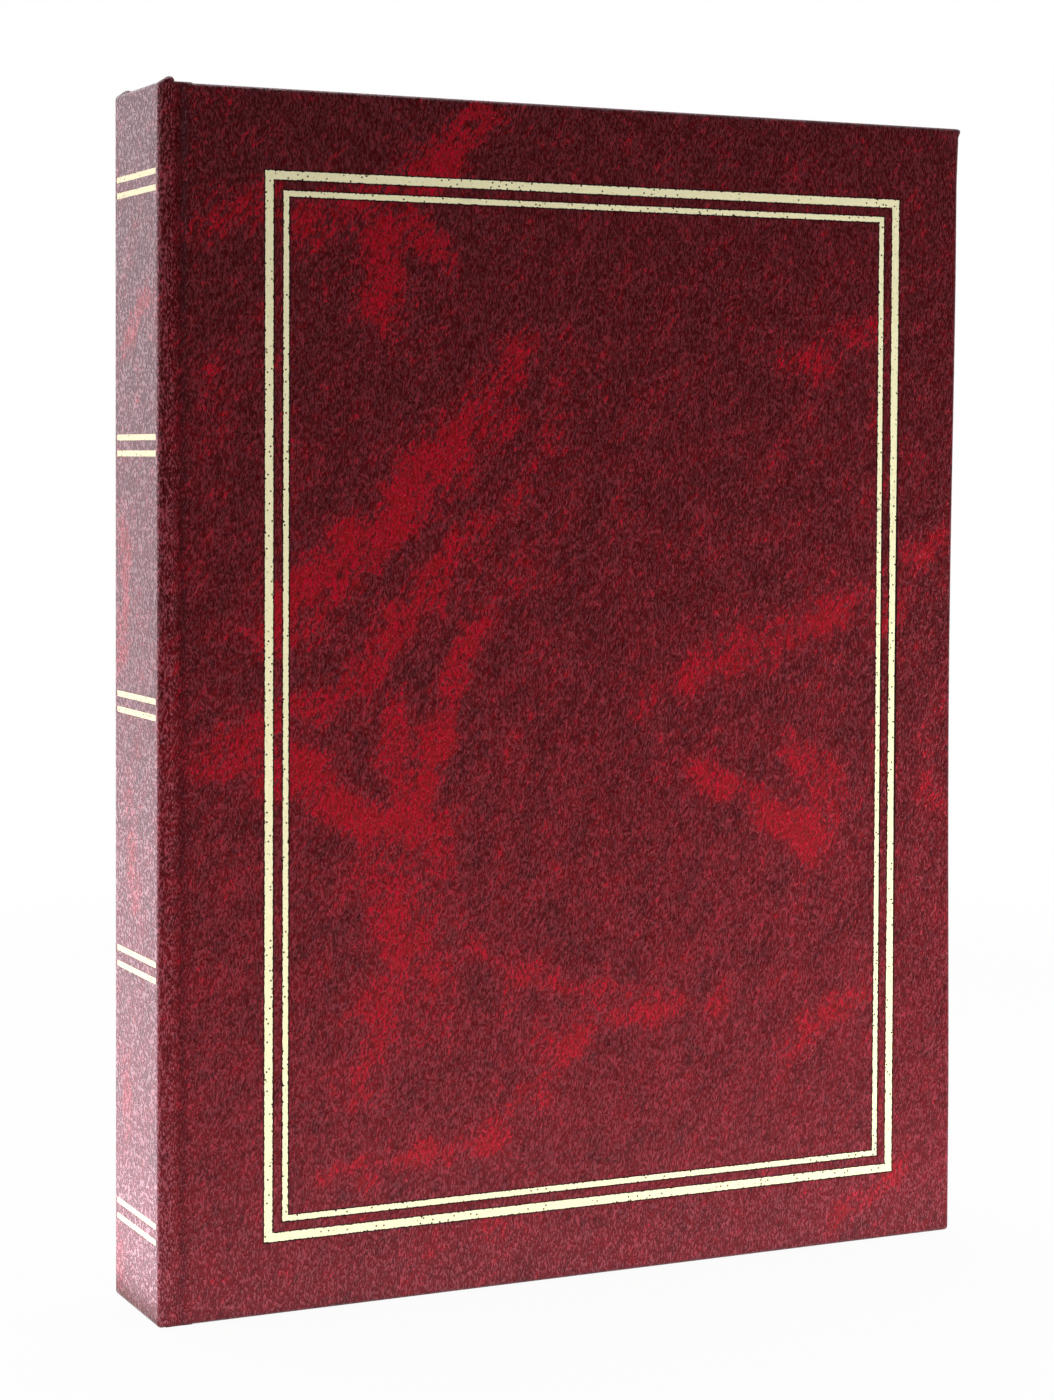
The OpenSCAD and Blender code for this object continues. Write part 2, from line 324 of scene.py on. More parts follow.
def marbling(finish, where, grain):
    """How crimson the leatherette is at a place: the crisp streaks, and a faint haze, with painted light
    that brightens it towards the foot.
    """
    along, up = laid_flat(finish, where)
    flat = finish.node("ShaderNodeCombineXYZ", None, [along, up, 0.0])
    drift = finish.noise(where, DRIFT_SIZE, 6, 0.68, "Color").vector("SUBTRACT", (0.5, 0.5, 0.5))
    field = finish.scaled(flat.vector("ADD", drift.times(2 * DRIFT)), 1, 1, 0)
    for strength, half_width, points in STREAKS:
        for start, end in zip(points, points[1:]):
            field = add_streak(finish, field, start, end, half_width, strength)
    field = finish.parts(field)[2]
    slant = {"Vector": flat, "Rotation": (0, 0, -FIBRE_SLANT)}
    slanted = finish.node("ShaderNodeMapping", {"vector_type": "POINT"}, slant)
    fibres = finish.noise(finish.scaled(slanted, 0.4, 1, 1), FIBRE_SIZE, 4, 0.72)
    clouds = finish.noise(finish.scaled(slanted, 0.6, 1, 1), CLOUD_SIZE, 6, 0.7)
    broken = (clouds - 0.5) * CLOUD_DEPTH + (fibres - 0.5) * FIBRE_DEPTH
    red = (field + broken + grain - 0.5).ramp(*STREAK_EDGE)
    # Painted light: the haze rises towards the foot, standing in for light from below
    painted_foot_light = HAZE_WITH_FOOT_LIGHT - up * (PAINTED_LIGHT_FALL * MM / ALBUM_H)
    haze_and_foot_light = (field * 0.6 + broken * 0.7 + painted_foot_light).ramp(0.0, HAZE_END)
    return red, haze_and_foot_light


# An ellipse reaches past a streak's half width, and past its two points, and is whole within its core
STREAK_REACH = 1.95
STREAK_LAP = 1.2
STREAK_CORE = 0.2
# Farther off than any place, so that the larger of two vectors keeps the field's own x and y
FAR = 10000.0


def add_streak(finish, field, start, end, half_width, strength):
    """Raises the z of the field inside an ellipse along two points. Its x and y are a place on the sheet."""
    a, b = Vector((*start, 0)), Vector((*end, 0))
    run = b - a
    reach = STREAK_REACH * half_width
    half_length = run.length / 2 + STREAK_LAP * reach
    ellipse = {
        "Vector": field, "Location": (a + b) / 2, "Rotation": (0, 0, math.atan2(run.y, run.x)),
        "Scale": (half_length, reach, 0),
    }
    away = finish.node("ShaderNodeMapping", {"vector_type": "TEXTURE"}, ellipse)
    away = away.vector("LENGTH", out="Value")
    fade = {"Value": away, "From Min": 1, "From Max": STREAK_CORE, "To Min": 0, "To Max": strength}
    near = finish.node("ShaderNodeMapRange", {"interpolation_type": "SMOOTHSTEP"}, fade)
    raised = finish.node("ShaderNodeCombineXYZ", None, [-FAR, -FAR, near])
    return field.vector("MAXIMUM", raised)


GRAIN_SIZE = 0.33
GRAIN_WANDER = 0.7
# The part of the grain's noise over which a pebble rises, and its ridge, coloured lighter partly as a
# painted highlight
PEBBLE = (0.38, 0.62)
RIDGE = (0.48, 0.64)
RIDGE_GLOSS = 0.45
# Millimetres from the spine's face, from the middle of the joint's crease and from a gilt line, over which
# the painted highlight on the shoulders, the painted shade in the crease and the painted shade beside the
# gilt lines fade
SHOULDER_SHEEN = (5.0, 3.0)
GROOVE_SHADE = (1.3, 0.2)
GILT_LINE_SHADE = (0.45, 0.15)


def leatherette():
    """Pressed grain whose lighter ridges are partly a painted highlight, crimson marbling, a painted
    highlight on the shoulders, and painted shade in the joint's crease and beside the gilt lines.
    """
    finish = Finish("marbled_leatherette", IOR=1.42, Specular_Tint=(1, 0.8, 0.95, 1), Coat_Roughness=0.3)
    where = finish.sheet_place()
    wander = finish.noise(where, 1.2, 1, 0.5, "Color").times(GRAIN_WANDER)
    grain = finish.noise(finish.scaled(where.vector("ADD", wander), 1, 0.3, 0.36), GRAIN_SIZE, 1, 0.5)
    red, haze_and_foot_light = marbling(finish, where, grain)
    pebble, ridge = grain.ramp(*PEBBLE), grain.ramp(*RIDGE)

    # The crests are lighter than the valleys, in the streaks too: the grain's tone, and partly a painted
    # highlight on the ridges
    valley = finish.mix(haze_and_foot_light, rgb(71, 0, 3), rgb(108, 0, 5))
    crest_with_highlight = finish.mix(haze_and_foot_light, rgb(109, 37, 44), rgb(143, 41, 54))
    streak = finish.mix(ridge, rgb(138, 0, 7), rgb(178, 2, 35))
    base = finish.mix(red, finish.mix(ridge, valley, crest_with_highlight), streak)

    x, y, z = finish.parts(where)
    on_cover = y.math("ABSOLUTE").ramp(BACK_Y / MM - 2, BACK_Y / MM - 1)
    # Painted highlight: the ridges of the shoulders are lightened, standing in for light caught on the
    # rounded shoulder
    shoulder_sheen = (x - SPINE_X / MM).ramp(*SHOULDER_SHEEN) * on_cover * ridge
    base = finish.mix(shoulder_sheen * 0.75, base, rgb(150, 64, 76))
    # Painted shade: the leatherette is darkened along the middle of the joint's crease, where the groove
    # lies in shadow
    crease = (x - CREASE_X / MM).math("ABSOLUTE").ramp(*GROOVE_SHADE)
    base = finish.mix(crease * on_cover * 0.2, base, rgb(48, 0, 3))
    for node, lo, hi, width in gilt_lines():
        # Painted shade: a dark outline beside each gilt line on the front, standing in for the shadow of the
        # pressed edge
        line_shade = line_edge(finish, where, lo, hi, width).ramp(*GILT_LINE_SHADE)
        base = finish.mix(line_shade * y.ramp(*ON_FACE), base, rgb(34, 6, 6))

    finish.link("Base Color", base)
    finish.link("Roughness", 0.36 - pebble * 0.1)
    finish.link("Coat Weight", ridge * (1.0 - red * 0.6) * RIDGE_GLOSS)
    finish.bump(pebble, 0.15)
    return finish.material


def gilt():
    """Foil with pinholes and worn patches, ragged along the edges of the front's lines."""
    finish = Finish("gilt_foil", IOR=1.3)
    where = finish.place()
    x, y, z = finish.parts(where)
    speck = finish.noise(finish.scaled(where, 1, 1, 0.6), 0.6, 2, 0.6)
    flat = finish.node("ShaderNodeCombineXYZ", None, [x + y, z, 0.0])
    cells = {"Vector": flat, "Scale": 0.42}
    dots = finish.node("ShaderNodeTexVoronoi", {"voronoi_dimensions": "2D"}, cells, "Distance")
    pinholes = dots.ramp(0.13, 0.07) * finish.noise(where, 9, 2, 0.5).ramp(0.42, 0.5)
    wear = (finish.noise(where, 14, 2, 0.5).ramp(0.6, 0.75) * speck).ramp(0.5, 0.62)
    bare = speck.ramp(0.68, 0.72).math("MAXIMUM", pinholes).math("MAXIMUM", wear)
    for node, lo, hi, width in gilt_lines():
        edge = line_edge(finish, where, lo, hi, width)
        ragged = (edge + (speck - 0.5) * 0.9).ramp(-0.06, 0.0) * edge.ramp(0.2, 0.1)
        bare = bare.math("MAXIMUM", ragged * y.ramp(*ON_FACE))
    tone = finish.noise(finish.scaled(where, 1, 1, 0.5), 0.8, 3, 0.6)
    gold = finish.mix(tone, rgb(242, 233, 180), rgb(255, 249, 212))
    finish.link("Base Color", finish.mix(bare, gold, rgb(44, 12, 12)))
    finish.link("Metallic", (1.0 - bare) * 0.05)
    finish.link("Roughness", 0.36 + tone * 0.2)
    finish.bump(tone, 0.03)
    return finish.material


def fibrous(name, base, fleck, size, height, roughness=0.85):
    """Board or paper: flecks of a second colour and a fibrous surface."""
    finish = Finish(name, Roughness=roughness)
    where = finish.place()
    fibres = finish.noise(where, size, 5, 0.65)
    cloud = finish.noise(where, size * 22, 2, 0.5)
    mixed = (fibres * 0.7 + cloud * 0.3).ramp(0.36, 0.66)
    finish.link("Base Color", finish.mix(mixed, rgb(*fleck), rgb(*base)))
    finish.bump(fibres, height)
    return finish.material


def thread_weave(across, along, pitch):
    """Height of two crossing sets of threads, 0 to 1."""
    turn = 2 * math.pi / pitch
    return (across * turn).math("SINE") * (along * turn).math("SINE") * 0.5 + 0.5


def woven(name, light, dark, pitch, height):
    """Linen, tape or mull: two crossing sets of threads."""
    finish = Finish(name, Roughness=0.9)
    where = finish.place()
    x, y, z = finish.parts(where)
    weave = thread_weave(x + y, z, pitch)
    slub = finish.noise(where, pitch * 3, 3, 0.6)
    finish.link("Base Color", finish.mix((weave * 0.6 + slub * 0.4).clamped(), rgb(*dark), rgb(*light)))
    finish.bump(weave, height)
    return finish.material


def glassine():
    """Thin clear paper, a little mottled."""
    finish = Finish("glassine", Roughness=0.25, IOR=1.45)
    where = finish.place()
    mottle = finish.noise(where, 1.4, 4, 0.6)
    finish.link("Base Color", finish.mix(mottle, rgb(214, 220, 218), rgb(240, 243, 240)))
    finish.link("Alpha", 0.34 + mottle * 0.2)
    finish.bump(mottle, 0.01)
    return finish.material


MATERIALS = {
    "leatherette": leatherette(),
    "gilt": gilt(),
    "greyboard": fibrous("greyboard", (150, 138, 120), (118, 106, 90), 0.7, 0.05),
    "card": fibrous("leaf_card", (246, 243, 232), (232, 227, 212), 0.5, 0.01, 0.7),
    "endpaper": fibrous("endpaper", (242, 236, 220), (228, 220, 200), 0.6, 0.012, 0.75),
    "lining": fibrous("lining_paper", (216, 207, 184), (196, 186, 160), 0.8, 0.02),
    "glassine": glassine(),
    "linen": woven("linen", (226, 220, 204), (190, 182, 162), 0.55, 0.04),
    "mull": woven("mull", (226, 221, 206), (180, 172, 152), 1.1, 0.08),
    "thread": woven("thread", (242, 239, 230), (206, 200, 184), 0.3, 0.03),
}


# ---------------------------------------------------------------- making pieces
MERGE = 0.002 * MM
FLAT_FACE_WEIGHT = 90
UPRIGHT = Matrix.Rotation(math.radians(90), 4, "X")


def block(lo, hi):
    """A bmesh box between two corners."""
    lo, hi = Vector(lo), Vector(hi)
    bm = bmesh.new()
    place = Matrix.Translation((lo + hi) / 2) @ Matrix.Diagonal((*(hi - lo), 1))
    bmesh.ops.create_cube(bm, size=1, matrix=place)
    return bm


def round_edges(bm, radius, segments=5):
    """Rounds every edge of a box."""
    bmesh.ops.bevel(
        bm, geom=bm.edges[:], offset=radius, offset_type="OFFSET", segments=segments,
        profile=0.5, affect="EDGES", material=-1,
    )


def cut(bm, axis, places, chosen=None):
    """Cuts the mesh across an axis at each place. chosen says, from a face's middle, whether it is cut."""
    normal = Vector([1 if i == axis else 0 for i in range(3)])
    for place in places:
        faces = [f for f in bm.faces if chosen is None or chosen(f.calc_center_median())]
        edges = dict.fromkeys(e for f in faces for e in f.edges)
        verts = dict.fromkeys(v for f in faces for v in f.verts)
        bmesh.ops.bisect_plane(bm, geom=[*verts, *edges, *faces], plane_co=normal * place, plane_no=normal)


def delete_faces(bm, chosen):
    """Deletes the chosen faces."""
    faces = [f for f in bm.faces if chosen(f.calc_center_median())]
    bmesh.ops.delete(bm, geom=faces, context="FACES")


def sink(bm, chosen, slope, depth):
    """Presses the chosen faces in, with a sloping edge."""
    faces = [f for f in bm.faces if chosen(f.calc_center_median())]
    bmesh.ops.inset_region(bm, faces=faces, thickness=slope, depth=-depth, use_even_offset=True)


def add_wall(piece, thickness, offset=0.0):
    """Gives a sheet its thickness: an offset of -1 puts it inside, and 0 on both sides."""
    wall = piece.modifiers.new("wall", "SOLIDIFY")
    wall.thickness = thickness
    wall.offset = offset


def finish_piece(name, bm, slot, body=None, replaces=(), thickness=0, keep_rest=False, smooth=True):
    """Makes a piece of a mesh. keep_rest stores where its points lie when the album is shut."""
    mesh = bpy.data.meshes.new(name)
    bmesh.ops.remove_doubles(bm, verts=bm.verts[:], dist=MERGE)
    bmesh.ops.recalc_face_normals(bm, faces=bm.faces[:])
    bm.to_mesh(mesh)
    bm.free()
    piece = bpy.data.objects.new(name, mesh)
    scene.collection.objects.link(piece)
    mesh.materials.append(MATERIALS[slot])
    for face in mesh.polygons:
        face.use_smooth = smooth
    if keep_rest:
        attribute = mesh.attributes.new(REST, "FLOAT_VECTOR", "POINT")
        for point, vertex in zip(attribute.data, mesh.vertices):
            point.vector = vertex.co
    if thickness:
        add_wall(piece, thickness, -1)
    if smooth:
        normals = piece.modifiers.new("flat_faces", "WEIGHTED_NORMAL")
        normals.weight = FLAT_FACE_WEIGHT
    if body:
        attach(piece, body)
    if replaces:
        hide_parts(*replaces)
    return piece


# ---------------------------------------------------------------- case
# The bow's depth, the part of the height that it takes, and how far it runs in from the fore-edge
FORE_BOW = 1.05 * MM
BOW_REACH = 0.8
BOW_RUN = 30 * MM
EAR_X = 1.5 * MM
EAR_REACH = 3.4 * MM


def bow(x, z):
    """How far a cover's fore-edge is drawn in at a place. The bow is deepest at mid height."""
    t = (z - ALBUM_H / 2) / (ALBUM_H / 2) / BOW_REACH
    near = max(0.0, min(1.0, (x - (FORE_X - BOW_RUN)) / BOW_RUN))
    return FORE_BOW * max(0.0, 1 - t * t) ** 2 * near


def bend_fore_edge(bm, ear=True):
    """Bows the fore-edge, and draws out an ear at its head."""
    for v in bm.verts:
        v.co.x -= bow(v.co.x, v.co.z)
        reach = math.hypot(v.co.x - FORE_X, v.co.z - ALBUM_H)
        if ear and reach < EAR_REACH:
            v.co.x += EAR_X * (1 - reach / EAR_REACH)


GROOVE_START = SPINE_X + 2.8 * MM
GROOVE_END = SPINE_X + 8.4 * MM
GROOVE_DEPTH = 0.75 * MM
GROOVE_HEAD_DEPTH = 0.15 * MM
GROOVE_COVER = 0.06 * MM


def groove(x, z):
    """How deep the joint groove lies at a place. It is deepest at the head."""
    t = (x - GROOVE_START) / (GROOVE_END - GROOVE_START)
    if not 0 < t < 1:
        return 0.0
    depth = GROOVE_DEPTH + GROOVE_HEAD_DEPTH * (z / ALBUM_H) ** 3
    return depth * (1 - math.cos(2 * math.pi * t)) / 2


def seat_joint(bm):
    """Presses the edges beside a groove a little below the joint's own leatherette."""
    for v in bm.verts:
        deep = groove(v.co.x, v.co.z)
        seat = BACK_Y - deep - min(GROOVE_COVER, 2 * deep)
        if abs(v.co.y) > seat:
            v.co.y = math.copysign(seat, v.co.y)


def groove_cuts(start, end, count=6):
    """Where a piece beside a groove is cut so that it can follow the groove."""
    return [start + (end - start) * (i + 0.5) / count for i in range(count)]


def heights(count=15):
    """Where a tall piece is cut so that it can bow, clear of the gilt lines."""
    return [ALBUM_H * i / count for i in range(2, count - 1)]


# The slope at the side of a pressed line and its depth, and how deep the foil's face and underside lie
GILT_SLOPE = 0.12 * MM
GILT_SINK = 0.1 * MM
FOIL_FACE = 0.05 * MM
FOIL_BED = GILT_SINK + 0.02 * MM
# How much shorter a spine bar is at each end than its box in the frame
BAR_INSET = 0.8 * MM


def in_line(x, z, lo, hi, width, grow):
    """True where a place lies on a gilt frame of the given line width, or within grow of it."""
    outside = lo.x - grow < x < hi.x + grow and lo.z - grow < z < hi.z + grow
    w = width + grow
    inside = lo.x + w < x < hi.x - w and lo.z + w < z < hi.z - w
    return outside and not inside


def on_face(centre):
    """True where the middle of a face lies on the front cover's face."""
    return centre.y < FRONT_Y + SKIM


def sink_frames(bm):
    """Presses the bed of the two gilt frames into the front cover's face."""
    g = GILT_SLOPE
    for node, lo, hi, width in gilt_lines():
        cut(bm, 0, (lo.x - g, lo.x + width + g, hi.x - width - g, hi.x + g), on_face)
        cut(bm, 2, (lo.z - g, lo.z + width + g, hi.z - width - g, hi.z + g), on_face)
    for node, lo, hi, width in gilt_lines():
        sink(bm, lambda c: on_face(c) and in_line(c.x, c.z, lo, hi, width, g), g, GILT_SINK)


def cover_skin(side):
    """The leatherette of one cover, from its joint edge round to the turn-ins inside."""
    bm = block((COVER_X, FRONT_Y, 0), (FORE_X, CASE_Y, ALBUM_H))
    round_edges(bm, EDGE_R)
    open_x = (GROOVE_END, FORE_X - TURNIN_W)
    open_z = (TURNIN_W, ALBUM_H - TURNIN_W)
    cut(bm, 0, [*open_x, FORE_X - RIM])
    cut(bm, 0, groove_cuts(COVER_X + 0.3 * MM, GROOVE_END), lambda c: c.y < 0.5 * (FRONT_Y + CASE_Y))
    cut(bm, 2, [RIM, *open_z, *heights(), ALBUM_H - RIM])
    seat_joint(bm)
    if side == "front":
        sink_frames(bm)
    delete_faces(bm, lambda c: (
        c.y > CASE_Y - SKIM and open_x[0] < c.x < open_x[1] and open_z[0] < c.z < open_z[1]
    ))
    bend_fore_edge(bm)
    if side == "back":
        bmesh.ops.scale(bm, vec=(1, -1, 1), verts=bm.verts[:])
    name, body = f"{side}_cover_leatherette", f"{side}_cover"
    replaced = [f"{side}_leatherette"]
    finish_piece(name, bm, "leatherette", body, replaced, thickness=SKIN, keep_rest=True)


def strip(x0, x1, z0, z1, columns, rows, profile, side="front", cuts=()):
    """A grid across a joint: profile gives its y, for the front half of the album, at each x and z."""
    bm = bmesh.new()
    place = Matrix.Translation(((x0 + x1) / 2, 0, (z0 + z1) / 2)) @ UPRIGHT
    size = Matrix.Diagonal((x1 - x0, z1 - z0, 1, 1))
    bmesh.ops.create_grid(bm, x_segments=columns, y_segments=rows, size=0.5, matrix=place @ size)
    cut(bm, 2, cuts)
    for v in bm.verts:
        v.co.y = profile(v.co.x, v.co.z) * (1 if side == "front" else -1)
    return bm


def joint_piece(name, bm, slot, bodies, start, end, thickness, **options):
    """A sheet across a joint, given its thickness on both sides."""
    piece = finish_piece(name, bm, slot, **options)
    add_wall(piece, thickness)
    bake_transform(piece)


JOINT_LAP = 0.5 * MM
LAP_DEPTH = 0.12 * MM


def joint_skin(side):
    """The leatherette of a joint groove. Its sides lie under the leatherette beside it."""
    def face(x, z):
        on_groove = GROOVE_START - JOINT_LAP / 2 < x < GROOVE_END + JOINT_LAP / 2
        buried = 0.0 if on_groove else LAP_DEPTH
        inside = EDGE_R - max(0.0, min(z, ALBUM_H - z, EDGE_R))
        rounded = EDGE_R - math.sqrt(EDGE_R ** 2 - inside ** 2)
        return FRONT_Y + max(groove(x, z) + buried, rounded) - SKIM + SKIN / 2

    rims = [EDGE_R * (1 - math.cos(math.pi / 8 * i)) for i in range(1, 5)]
    cuts = [*rims, *[ALBUM_H - rim for rim in rims]]
    bm = strip(GROOVE_START - JOINT_LAP, GROOVE_END + JOINT_LAP, 0, ALBUM_H, 32, 30, face, side, cuts)
    bodies = ("spine", f"{side}_cover")
    name = f"{side}_joint_leatherette"
    joint_piece(name, bm, "leatherette", bodies, SHOULDER_X, COVER_X, SKIN, keep_rest=True)


def joint_lining(slot, side, start, end, lo, hi, columns, thickness):
    """A sheet that slants across a joint on the inside. start and end each give an x and a y."""
    slant = lambda x, z: start[1] + (end[1] - start[1]) * (x - start[0]) / (end[0] - start[0])
    bm = strip(start[0], end[0], lo.z, hi.z, columns, 1, slant, side)
    bodies = ("spine", f"{side}_cover")
    joint_piece(f"{side}_joint_{slot}", bm, slot, bodies, start[0], end[0], thickness)


def joint_linings(side):
    """The mull and the endpaper inside a joint."""
    mull_lo, mull_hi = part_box("front_mull")
    paper_lo, paper_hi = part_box("front_pastedown")
    tape_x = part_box("sewing_tapes")[1].x
    start = (tape_x + 0.1 * MM, mull_hi.y + 0.1 * MM)
    end = (mull_lo.x + 0.3 * MM, (mull_lo.y + mull_hi.y) / 2)
    joint_lining("mull", side, start, end, mull_lo, mull_hi, 12, 0.3 * MM)
    start = (tape_x + 0.3 * MM, stubs_lo.y - 0.1 * MM)
    end = (paper_lo.x + 0.8 * MM, paper_hi.y + 0.1 * MM)
    joint_lining("endpaper", side, start, end, stubs_lo, stubs_hi, 14, 0.2 * MM)


LEAVES = 16
CREASE_GAP = 0.2 * MM
CREASE_LAP = 0.4 * MM


def creases():
    """The strips over the leaves' creases: paper at the flyleaves, and linen at the stock leaves."""
    for side in ("front", "back"):
        lo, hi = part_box(f"{side}_flyleaf")
        crease = (stubs_hi.x + lo.x) / 2
        crease_strip(f"{side}_flyleaf_crease", "endpaper", f"{side}_fly", crease, lo.x - crease, lo, hi)
    for number in range(1, LEAVES + 1):
        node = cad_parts[f"leaf_card_{number:02d}"]
        lo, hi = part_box(node.name)
        root = [v.co.y for v in node.data.vertices if v.co.x < lo.x + SKIM]
        low, high = Vector((lo.x, min(root), lo.z)), Vector((hi.x, max(root), hi.z))
        name = f"leaf_{number:02d}_crease_linen"
        crease_strip(name, "linen", f"leaf_{number:02d}", lo.x - CREASE_GAP, CREASE_GAP, low, high)


def crease_strip(name, slot, body, crease, gap, lo, hi):
    """A strip over a leaf's crease, a little thicker than the leaf, lapping over both sides of its gap."""
    middle = (lo.y + hi.y) / 2
    reach = gap + CREASE_LAP
    bm = strip(crease - reach, crease + reach, lo.z, hi.z, 10, 1, lambda x, z: middle)
    thickness = hi.y - lo.y + 0.05 * MM
    joint_piece(name, bm, slot, ("spine", body), crease - gap, crease + gap, thickness)


# A bead's height, its middle from the spine's face, its width before and after that, and its depth in y
BEAD_H = 1.4 * MM
BEAD_MIDDLE = 3.7 * MM
BEAD_RISE = 2.2 * MM
BEAD_FALL = 1.4 * MM
BEAD_DEPTH = 3.2 * MM


def bead(v):
    """How far the head of a shoulder stands up where its turn-in is folded."""
    beside = v.co.x - SPINE_X - BEAD_MIDDLE
    inward = min(v.co.y - FRONT_Y, BACK_Y - v.co.y)
    if v.co.z < ALBUM_H - 2 * MM or inward > BEAD_DEPTH:
        return 0.0
    across = math.exp(-(abs(beside) / (BEAD_RISE if beside < 0 else BEAD_FALL)) ** 3)
    t = max(0.0, (inward - BEAD_DEPTH / 2) / (BEAD_DEPTH / 2))
    return BEAD_H * across * (1 - t * t * (3 - 2 * t))


SPINE_WALL = 2.2 * MM
# The beads' part of the head, and how finely it is cut
HEAD_H = 3 * MM
HEAD_STEP = 0.4 * MM


def raise_beads(bm):
    """Cuts the head of the spine's leatherette finely, and raises a bead on each shoulder."""
    at_head = lambda centre: centre.z > ALBUM_H - HEAD_H
    cut(bm, 0, [SPINE_X + 0.9 * MM + HEAD_STEP * i for i in range(9)], at_head)
    depths = [BACK_Y - 1.4 * MM - HEAD_STEP * i for i in range(6)]
    cut(bm, 1, [side * depth for depth in depths for side in (-1, 1)], at_head)
    for v in bm.verts:
        v.co.z += bead(v)


def sink_bars(bm):
    """Presses the bed of the gilt bars into the spine's face."""
    on_spine = lambda centre: centre.x < SPINE_X + SKIM
    bars = spine_bars()
    g = GILT_SLOPE
    y0, y1 = bars[0][0].y - g, bars[0][1].y + g
    cut(bm, 1, (y0, y1), on_spine)
    for lo, hi in bars:
        cut(bm, 2, (lo.z - g, hi.z + g), on_spine)
    for lo, hi in bars:
        sink(bm, lambda c: on_spine(c) and y0 < c.y < y1 and lo.z - g < c.z < hi.z + g, g, GILT_SINK)


def spine_skin():
    """The leatherette of the spine, its shoulders and the turn-ins at head and tail."""
    bm = block((SPINE_X, FRONT_Y, 0), (SHOULDER_X, BACK_Y, ALBUM_H))
    round_edges(bm, EDGE_R)
    open_y = BACK_Y - SPINE_WALL
    cut(bm, 1, (-open_y, open_y))
    cut(bm, 0, groove_cuts(GROOVE_START, SHOULDER_X - 0.2 * MM, 5))
    cut(bm, 2, [RIM, TURNIN_W, *heights(), ALBUM_H - TURNIN_W, ALBUM_H - RIM])
    seat_joint(bm)
    raise_beads(bm)
    sink_bars(bm)
    delete_faces(bm, lambda c: (
        c.x > SHOULDER_X - SKIM and abs(c.y) < open_y and TURNIN_W < c.z < ALBUM_H - TURNIN_W
    ))
    name, replaced = "spine_case_leatherette", ["spine_leatherette"]
    finish_piece(name, bm, "leatherette", "spine", replaced, thickness=SKIN, keep_rest=True)


def spine_bars():
    """The boxes of the gilt bars across the spine, from the tail up."""
    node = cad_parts["spine_gilt_bands"]
    lo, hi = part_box("spine_gilt_bands")
    lo.y, hi.y = lo.y + BAR_INSET, hi.y - BAR_INSET
    edges = sorted({round(v.co.z, 5) for v in node.data.vertices})
    return [(Vector((lo.x, lo.y, a)), Vector((hi.x, hi.y, b))) for a, b in zip(edges[::2], edges[1::2])]


def spine_foil():
    """The foil of the bars, sunk a little below the spine's face."""
    whole = bmesh.new()
    for lo, hi in spine_bars():
        bar = block((lo.x + FOIL_FACE, lo.y, lo.z), (lo.x + FOIL_BED, hi.y, hi.z))
        mesh = bpy.data.meshes.new("bar")
        bar.to_mesh(mesh)
        bar.free()
        whole.from_mesh(mesh)
        bpy.data.meshes.remove(mesh)
    finish_piece("spine_gilt_foil", whole, "gilt", "spine", ["spine_gilt_bands"], smooth=False)


def frame_foil(node, lo, hi, width):
    """One gilt frame with mitred corners."""
    bm = bmesh.new()
    centre = Vector(((lo.x + hi.x) / 2, FRONT_Y + FOIL_BED, (lo.z + hi.z) / 2))
    size = Matrix.Diagonal((hi.x - lo.x, hi.z - lo.z, 1, 1))
    place = Matrix.Translation(centre) @ UPRIGHT @ size
    bmesh.ops.create_grid(bm, x_segments=1, y_segments=1, size=0.5, matrix=place)
    middle = bm.faces[:]
    bmesh.ops.inset_individual(bm, faces=middle, thickness=width, use_even_offset=True)
    bmesh.ops.delete(bm, geom=middle, context="FACES")
    raised = bmesh.ops.extrude_face_region(bm, geom=bm.faces[:])
    verts = [e for e in raised["geom"] if isinstance(e, bmesh.types.BMVert)]
    bmesh.ops.translate(bm, vec=(0, FOIL_FACE - FOIL_BED, 0), verts=verts)
    finish_piece(f"{node}_foil", bm, "gilt", "front_cover", [node], smooth=False)


BOARD_EDGE_R = 0.6 * MM


def board(node, body, bowed=True):
    """A greyboard with softened edges, whose fore-edge follows the leatherette's."""
    lo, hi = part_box(node)
    bm = block(lo, hi)
    round_edges(bm, BOARD_EDGE_R, 3)
    if bowed:
        cut(bm, 0, [FORE_X - BOW_RUN])
        cut(bm, 2, heights())
        bend_fore_edge(bm, ear=False)
    finish_piece(f"{node}_sheet", bm, "greyboard", body, [node])


for side in ("front", "back"):
    cover_skin(side)
    joint_skin(side)
    joint_linings(side)
    board(f"{side}_board", f"{side}_cover")
spine_skin()
spine_foil()
board("spine_board", "spine", bowed=False)
for line in gilt_lines():
    frame_foil(*line)
creases()

# ---------------------------------------------------------------- finishes of the CAD nodes
NODE_FINISH = {
    "spine_lining": "lining", "sewing_tapes": "linen", "sewing_thread": "thread",
    "leaf_guards": "card", "guard_spacers": "greyboard", "guard_linen": "linen",
    "endpaper_stubs": "endpaper",
    "front_mull": "mull", "back_mull": "mull",
    "front_pastedown": "endpaper", "back_pastedown": "endpaper",
    "front_flyleaf": "endpaper", "back_flyleaf": "endpaper",
}


def dress(node, material):
    """Gives a node of the frame its finish."""
    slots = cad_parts[node].data.materials
    slots.clear()
    slots.append(material)


LINEN_PITCH = 0.55


